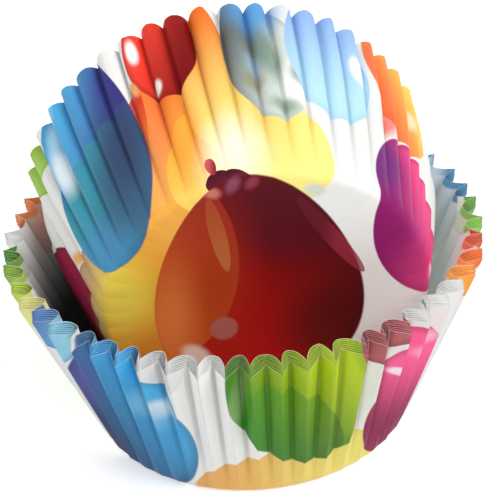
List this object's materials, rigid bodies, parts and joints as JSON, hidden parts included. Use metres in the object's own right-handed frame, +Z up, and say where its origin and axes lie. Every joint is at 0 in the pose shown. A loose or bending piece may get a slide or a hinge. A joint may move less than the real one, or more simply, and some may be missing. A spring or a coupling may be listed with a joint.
{
  "type": "stack of cupcake liners",
  "caption": "Pleated paper baking cups standing nested in each other, with one more lying on its side in the top one.",
  "frame": {"origin": "middle of the lowest liner's base, on the surface that the nest stands on", "axes": "+Z up along the nest's axis, -Y to the front, where the tilted liner's base faces, +X to the right seen from the front"},
  "size_m": [0.075, 0.0751, 0.0664],
  "materials": {
    "printed_paper": "matte greaseproof paper, printed on the outside"
  },
  "bodies": {
    "root": {"nested_liner_1": "printed_paper", "nested_liner_2": "printed_paper", "nested_liner_3": "printed_paper", "nested_liner_4": "printed_paper", "nested_liner_5": "printed_paper", "nested_liner_6": "printed_paper", "nested_liner_7": "printed_paper", "tilted_liner": "printed_paper"}
  },
  "joints": []
}
